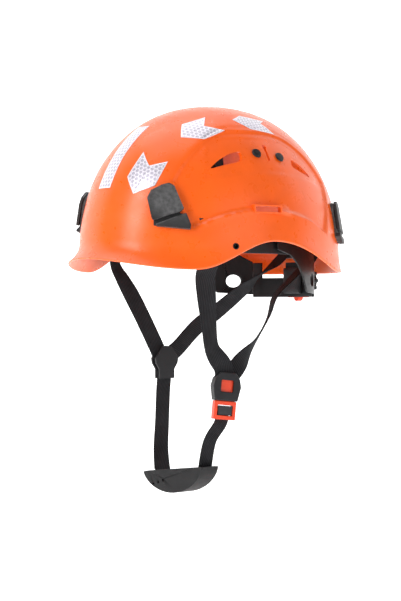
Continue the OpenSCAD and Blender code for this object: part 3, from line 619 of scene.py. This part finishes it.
def on_shell(angle, z, side=1):
    """Axes that stand on the shell's outside: x backwards, y upwards and z outwards."""
    def at(a, h):
        n = float(narrow(np.array(h), crown))
        out = float(lip(np.array(a), np.array(h)) - panel_depth * plain_panel(np.array(a), np.array(h)))
        return Vector(((half_width * n + out) * math.cos(math.radians(a)),
                       -(half_length * n + out) * math.sin(math.radians(a)), h))
    normal = (at(angle - 1, z) - at(angle + 1, z)).cross(at(angle, z + 2) - at(angle, z - 2)).normalized()
    up = (Vector((0, 0, 1)) - normal * normal.z).normalized()
    back = up.cross(normal)
    place = Matrix((back, up, normal)).transposed().to_4x4()
    place.translation = at(angle, z)
    return Matrix.Diagonal((side, 1, 1, 1)) @ place


front_vent = [(-63, 90), (-52, 99), (-40, 105.5), (-28.5, 108.5), (-29.5, 99), (-46, 95)]
rear_vent = [(57, 88), (46, 98), (31, 105), (28.5, 97), (43, 92)]
key_slot = [(-0.7, 101), (1.7, 101), (1.7, 111.5)]
key_slot += [(0.5 + 2.3 * math.cos(t), 114 + 2.3 * math.sin(t)) for t in np.linspace(-0.9, math.pi + 0.9, 24)]
key_slot += [(-0.7, 111.5)]
bushing_place = (22, 21)
peg_places = ((6.8, 107), (-7.8, 105))
cuts = [prism(shape, through_sides(), (-212, 212))
        for shape in (cut_corners(front_vent), cut_corners(rear_vent), key_slot)]
disc = [(math.cos(t), math.sin(t)) for t in np.arange(32) * math.pi / 16]
for side in (1, -1):
    for angle, z in peg_places:
        cuts.append(prism([(2.5 * u, 2.5 * v) for u, v in disc], on_shell(angle, z, side), (-9, 9)))
    cuts.append(prism([(2.9 * u, 2.9 * v) for u, v in disc], on_shell(*bushing_place, side), (-5, 9)))
    slot_axes = Matrix.Translation((103.6, -16.3, 55)) @ Matrix.Rotation(math.radians(90 - 7), 4, "Z") @ \
        Matrix.Rotation(math.radians(90), 4, "X")
    liner = [(-15, -4), (15, -4), (15, 4), (-15, 4)]
    cuts.append(prism(liner, Matrix.Diagonal((side, 1, 1, 1)) @ slot_axes, (-12, 12)))
print("cutters:", len(cuts))

# %% Cut the shell
cut_points, cut_faces = [], []
for points, faces in cuts:
    cut_faces += [tuple(i + len(cut_points) for i in f) for f in faces]
    cut_points += points
cutter = lay_piece("shell_cutter", [p * MM for p in cut_points], cut_faces, shell_orange)
faces_out(cutter)
cutting = shell.modifiers.new("cut", "BOOLEAN")
cutting.operation, cutting.solver, cutting.object = "DIFFERENCE", "EXACT", cutter
settle(shell)
bpy.data.objects.remove(cutter)
shell.data.set_sharp_from_angle(angle=math.radians(40))
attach(shell, "helmet")
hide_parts(*shell_nodes)
print("shell after cutting:", len(shell.data.polygons), "faces")

# %% [markdown]
# ## Hard fittings
# Clips, keys, anchors, plates and gears already have their true shapes in the CAD. They stay
# as they are, and two modifiers finish them: a weld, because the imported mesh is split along
# its edges, and a bevel that rounds every edge as a mould would. Only the finish is new.


# %% Round the edges of the CAD's hard parts
def finish_part(node, finish, radius_mm, segments=3, steepest=32):
    part = frame["nodes"][node]
    if "custom_normal" in part.data.attributes:
        part.data.attributes.remove(part.data.attributes["custom_normal"])
    part.data.shade_smooth()
    part.data.materials.clear()
    part.data.materials.append(finish)
    weld = part.modifiers.new("weld", "WELD")
    weld.merge_threshold = 0.00002
    rounding = part.modifiers.new("rounding", "BEVEL")
    rounding.width, rounding.segments = radius_mm * MM, segments
    rounding.limit_method, rounding.angle_limit = "ANGLE", math.radians(steepest)
    rounding.harden_normals = True
    return part


for side in ("left", "right"):
    for end in ("front", "rear"):
        finish_part(f"clip_base_{side}_{end}", clip_grey, 0.5)
        finish_part(f"clip_tab_{side}_{end}", clip_grey, 1.0, 4)
        finish_part(f"peg_{side}_{end}", harness_black, 0.3)
        finish_part(f"key_{side}_{end}", harness_black, 0.8)
        finish_part(f"anchor_{side}_{end}", harness_black, 1.0)
    finish_part(f"bushing_{side}", harness_black, 0.15)
    finish_part(f"muff_sleeve_{side}", shell_orange, 0.3)
    finish_part(f"cradle_arm_{side}", harness_black, 0.5)
    finish_part(f"rack_{side}", gear_grey, 0.1, 2)
finish_part("headband", harness_black, 0.5)
finish_part("nape_plate", harness_black, 0.5)
finish_part("ratchet_housing", bright_orange, 0.8)
finish_part("pinion", gear_grey, 0.1, 2)
finish_part("knob", harness_black, 0.7)
finish_part("knob_screw", zinc, 0.2)
finish_part("divider_front", buckle_black, 0.5)
finish_part("divider_back", buckle_black, 0.5)
finish_part("buckle_socket", buckle_black, 0.9, 4)
finish_part("buckle_plug", bright_orange, 0.6)
finish_part("release_button", bright_orange, 0.3)
finish_part("chin_cup", cup_black, 0.7)
print("finished", sum(1 for n in frame["nodes"].values() if n.modifiers), "hard parts")

# %% [markdown]
# ## Webbing
# Each strap of the chin harness is a flat band that passes through a few stations. At each
# station the table gives where its middle lies and which way its width points, in millimetres.
# A smooth curve runs through them, and a band with rounded selvedges is swept along it.


# %% Sweep a band along its stations
def through(stations, steps=10):
    """A smooth curve through every station."""
    p = np.array([stations[0], *stations, stations[-1]], float)
    line = []
    for a, b, c, d in zip(p, p[1:], p[2:], p[3:]):
        u = (np.arange(steps) / steps)[:, None]
        curve = (2 * a - 5 * b + 4 * c - d) * u**2 + (3 * b - a - 3 * c + d) * u**3
        line.append(b + ((c - a) * u + curve) / 2)
    return np.concatenate([*line, p[-1:]])


def unit(v):
    return v / np.linalg.norm(v, axis=-1, keepdims=True)


def band(node, centre, width_way, width, thick, finish):
    """A webbing band along centre. Its UV map holds millimetres across and along."""
    along = unit(np.gradient(centre, axis=0))
    across = unit(width_way - along * (width_way * along).sum(1, keepdims=True))
    up = np.cross(across, along)
    turn = np.arange(16) * math.pi / 8
    u = np.sign(np.cos(turn)) * np.abs(np.cos(turn)) ** 0.35 * width / 2
    v = np.sign(np.sin(turn)) * np.abs(np.sin(turn)) ** 0.8 * thick / 2
    section = across[:, None] * u[None, :, None] + up[:, None] * v[None, :, None]
    points = (centre[:, None] + section).reshape(-1, 3)
    run = np.concatenate([[0], np.cumsum(np.linalg.norm(np.diff(centre, axis=0), axis=1))])
    weave = np.stack([np.tile(u, len(run)), np.repeat(run, 16)], 1)
    faces = grid_faces(len(run), 16, True)
    faces += [tuple(range(16))[::-1], tuple(len(points) - 16 + i for i in range(16))]
    piece = lay_piece(node + "_webbing", points * MM, faces, finish, {"weave": weave}, 60)
    faces_out(piece)
    if node == "strap_lower_right":
        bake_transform(piece, "helmet", "chin_set", Vector((-62, -10, -99)) * MM, Vector((-62, -12, -114)) * MM)
    else:
        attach(piece, body_of(frame["nodes"][node])[0])
    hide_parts(node)
    print(node, "webbing", round(float(run[-1])), "mm long")
    return piece


# %% Chin straps
strap_stations = {
    "strap_front_left": (18,
        [(76, -62, 28), (74, -62, 8), (66, -59.5, -6), (63, -55.7, -24), (61, -51.6, -46),
         (60, -47, -71), (57.4, -32.9, -86.4), (57.5, -30.7, -95.7)],
        [(0.5, 0.86, 0), (0.5, 0.86, 0), (0.55, 0.83, 0), (0.35, 0.93, 0), (0, 1, 0.1), (-0.1, 1, 0.2),
         (0.33, 0.92, 0.2), (0.34, 0.94, 0.2)]),
    "strap_rear_left": (17.1,
        [(22, 114, 22), (25, 101.2, 9), (32, 74, -6), (46, 41, -24), (47, 31, -44), (50, 10, -69),
         (58.1, -15.1, -87.4), (56.9, -23.1, -96.5)],
        [(1, 0, 0), (1, 0, 0), (0.96, -0.2, 0.1), (0.93, -0.37, 0.13), (0.85, -0.5, 0.2),
         (0.7, -0.7, 0.2), (-0.25, -0.68, 0.69), (-0.34, -0.94, 0.3)]),
    "strap_front_right": (18,
        [(-76, -62, 28), (-74, -61, 8), (-69, -56, -6), (-66, -46, -24), (-64, -34, -46),
         (-63, -21, -70), (-63, -15, -81)],
        [(-0.5, 0.86, 0), (-0.4, 0.9, 0.15), (-0.2, 0.93, 0.3), (0, 0.92, 0.42), (0, 0.92, 0.4),
         (0, 0.93, 0.38), (0, 0.95, 0.3)]),
    "strap_rear_right": (17.1,
        [(-22, 114, 22), (-25, 101.2, 9), (-27, 78.5, -5), (-40, 68, -19), (-57, 51, -39),
         (-61, 29, -54), (-61, 6, -74), (-61, -5, -81)],
        [(-1, 0, 0), (-1, 0, 0), (-0.8, 0.45, -0.45), (-0.3, 0.7, -0.65), (0, 0.72, -0.7),
         (0, 0.72, -0.7), (0, 0.7, -0.72), (0, 0.75, -0.66)]),
    "strap_lower_right": (17.1,
        [(-62, -10.4, -97), (-62, -11, -106), (-62, -12, -118), (-61, -14, -147), (-56, -19, -172),
         (-38.6, -30, -192)],
        [(0, 0.99, -0.1), (0, 0.99, -0.1), (0, 1, -0.1), (0, 1, -0.1), (0.1, 0.98, -0.2),
         (0.3, 0.9, -0.2)]),
    "strap_lower_left": (13,
        [(52.6, -29, -125.1), (52.1, -30.4, -139), (44, -37, -157), (35, -36, -184)],
        [(0.34, 0.94, 0), (0.34, 0.94, 0), (0.35, 0.9, 0.1), (0.5, 0.8, 0.2)]),
}
for node, (width, places, ways) in strap_stations.items():
    band(node, through(places), through(ways), width, 1.8, strap_webbing)

# %% [markdown]
# Two thinner bands cross under the crown. Each is an arch from one key to the opposite one,
# and the second lies just on top of the first.

# %% Crown straps
crown_thick, crown_wide = 1.2, 16
key_inward = 0.985
key_spot = np.array([68.8, 63.0]) * key_inward
for node, y_sign in (("crown_strap_one", 1), ("crown_strap_two", -1)):
    low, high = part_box(node)
    foot, peak = low[2] / MM + crown_thick / 2, high[2] / MM - crown_thick / 2
    t = np.linspace(0, math.pi, 61)
    side_x, side_y = key_spot[0], y_sign * key_spot[1]
    climb = np.clip(np.sin(t), 0, 1) ** 0.9
    arch = np.stack([side_x * np.cos(t), side_y * np.cos(t), foot + (peak - foot) * climb], 1)
    across = np.tile(unit(np.array([-side_y, side_x, 0.0])), (len(t), 1))
    band(node, arch, across, crown_wide, crown_thick, crown_webbing)

# %% [markdown]
# ## Reflective film
# The patches are laid on the shell's own surface, a quarter of a millimetre proud. Each is one
# or two four-sided fields between an angle and a height. Every point also stores how far it is
# from the outline, because the finish draws its plain margin from that.


# %% Lay film patches on the shell
def film_field(corners, rows=26):
    """A grid of (angle, height) between four corners."""
    a, b, c, d = (np.array(p, float) for p in corners)
    steps = np.linspace(0, 1, rows)
    u, v = (g.ravel()[:, None] for g in np.meshgrid(steps, steps, indexing="ij"))
    return a * (1 - u) * (1 - v) + b * u * (1 - v) + c * u * v + d * (1 - u) * v


def on_surface(places, lift):
    angle, z = places[:, 0], places[:, 1]
    here = shell_skin(angle, z, 0.0)
    normal = unit(np.cross(shell_skin(angle - 0.5, z, 0.0) - shell_skin(angle + 0.5, z, 0.0),
                           shell_skin(angle, z + 0.5, 0.0) - shell_skin(angle, z - 0.5, 0.0)))
    normal *= np.sign((normal * (here - [0, 0, 40])).sum(1, keepdims=True))
    return here + normal * lift


def lay_film(node, patches, rows=26):
    """patches: each is (fields, outline), both in angle and height."""
    points, faces, to_edge, cells = [], [], [], []
    for fields, outline in patches:
        loop = np.concatenate([np.linspace(p, q, 60) for p, q in zip(outline, outline[1:] + outline[:1])])
        border = on_surface(loop, 0.25)
        first = len(points)
        spots = np.concatenate([on_surface(film_field(f, rows), 0.25) for f in fields])
        flat_axes = np.linalg.svd(spots - spots.mean(0), full_matrices=False)[2][:2]
        cells += ((spots - spots.mean(0)) @ flat_axes.T).tolist()
        to_edge += [float(np.linalg.norm(border - p, axis=1).min()) for p in spots]
        points += spots.tolist()
        for k in range(len(fields)):
            faces += grid_faces(rows, rows, False, first + k * rows * rows)
    piece = lay_piece(node + "_film", np.array(points) * MM, faces, film_silver, {"cells": cells})
    piece.data.attributes.new("to_edge", "FLOAT", "POINT").data.foreach_set("value", to_edge)
    faces_out(piece)
    thick = piece.modifiers.new("thickness", "SOLIDIFY")
    thick.thickness, thick.offset = 0.2 * MM, -1
    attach(piece, "helmet")
    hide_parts(node)
    print(node, "film points:", len(points))


def chevron(tip_end, notch, tail_end, tail, point, side):
    """Two fields that make an arrow, and its outline."""
    fields = [(side, point, notch, tip_end), (point, tail, tail_end, notch)]
    return fields, [side, point, tail, tail_end, notch, tip_end]


def turned(patch):
    """The same patch on the wearer's right."""
    fields, outline = patch
    other = lambda p: (180 - p[0], p[1])
    return [tuple(other(p) for p in f) for f in fields], [other(p) for p in outline]


def first_chevron(back):
    """The arrow above the front clip, moved back by an angle."""
    corners = [(70, 107), (63.2, 93.5), (53.6, 97), (57.8, 75), (68.4, 68), (74.5, 84)]
    return chevron(*[(a - back, z) for a, z in corners])


others = [chevron((37, 141.5), (37, 132), (23.4, 128), (36, 118.7), (50, 120.3), (53, 133.6)),
          chevron((-17.4, 141.5), (-9.8, 138.5), (-14.2, 128), (4, 131), (15, 140), (5.6, 145))]
lay_film("chevrons_left", [first_chevron(0), *others])
lay_film("chevrons_right", [turned(p) for p in (first_chevron(7), *others)])


def stripe_corner(side, z):
    return (90 - side * math.degrees(math.asin(9 / (half_width * float(narrow(np.array(z), crown))))), z)


stripe = [[stripe_corner(s, z) for s, z in ((1, h), (-1, h), (-1, g), (1, g))]
          for h, g in ((134, 106), (106, 75))]
stripe_outline = stripe[0][:3] + stripe[1][2:] + stripe[1][:1]
lay_film("stripe_film", [(stripe, stripe_outline)])

# %% [markdown]
# ## Pads
# Foam under a knit cover has no sharp edge: its skin is pulled tight and swells between its
# seams. Each pad starts as the CAD's plain solid, is remeshed into even faces, smoothed a
# little so that its edges draw in, and blown up as cloth from within. How far any point may
# move is capped, so that a pad keeps its place against the band.


# %% Blow up the pads
furthest_move = 0.7


def puff(node, voxel_mm):
    mesh = frame["nodes"][node].data.copy()
    pad = bpy.data.objects.new(node + "_cover", mesh)
    bpy.context.scene.collection.objects.link(pad)
    body = body_of(frame["nodes"][node])[0]
    even = pad.modifiers.new("even", "REMESH")
    even.mode, even.voxel_size = "VOXEL", voxel_mm * MM
    settle(pad)
    rounder = pad.modifiers.new("rounder", "SMOOTH")
    rounder.factor, rounder.iterations = 0.5, 4
    settle(pad)
    before = np.array([v.co[:] for v in pad.data.vertices])
    cloth = pad.modifiers.new("cloth", "CLOTH")
    cloth.settings.use_pressure = True
    cloth.settings.uniform_pressure_force = 4
    cloth.settings.effector_weights.gravity = 0
    cloth.point_cache.frame_start, cloth.point_cache.frame_end = 1, 20
    for step in range(1, 21):
        bpy.context.scene.frame_set(step)
    settle(pad)
    bpy.context.scene.frame_set(1)
    after = np.array([v.co[:] for v in pad.data.vertices])
    move = after - before
    far = np.linalg.norm(move, axis=1, keepdims=True)
    after = before + move * np.minimum(1, furthest_move * MM / np.maximum(far, 1e-9))
    pad.data.vertices.foreach_set("co", after.ravel())
    swell = np.linalg.norm(after - before, axis=1) / MM
    print(node, "swelled by", round(float(swell.mean()), 2), "mm, at most", round(float(swell.max()), 2))
    finer = pad.modifiers.new("finer", "SUBSURF")
    finer.levels = finer.render_levels = 1
    settle(pad)
    pad.data.materials.clear()
    pad.data.materials.append(pad_knit)
    pad.data.shade_smooth()
    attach(pad, body)
    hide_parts(node)
    print(node, "pad faces:", len(pad.data.polygons))


for node, voxel in (("brow_pad", 2.0), ("nape_pad", 2.0), ("crown_pad", 4.0)):
    puff(node, voxel)
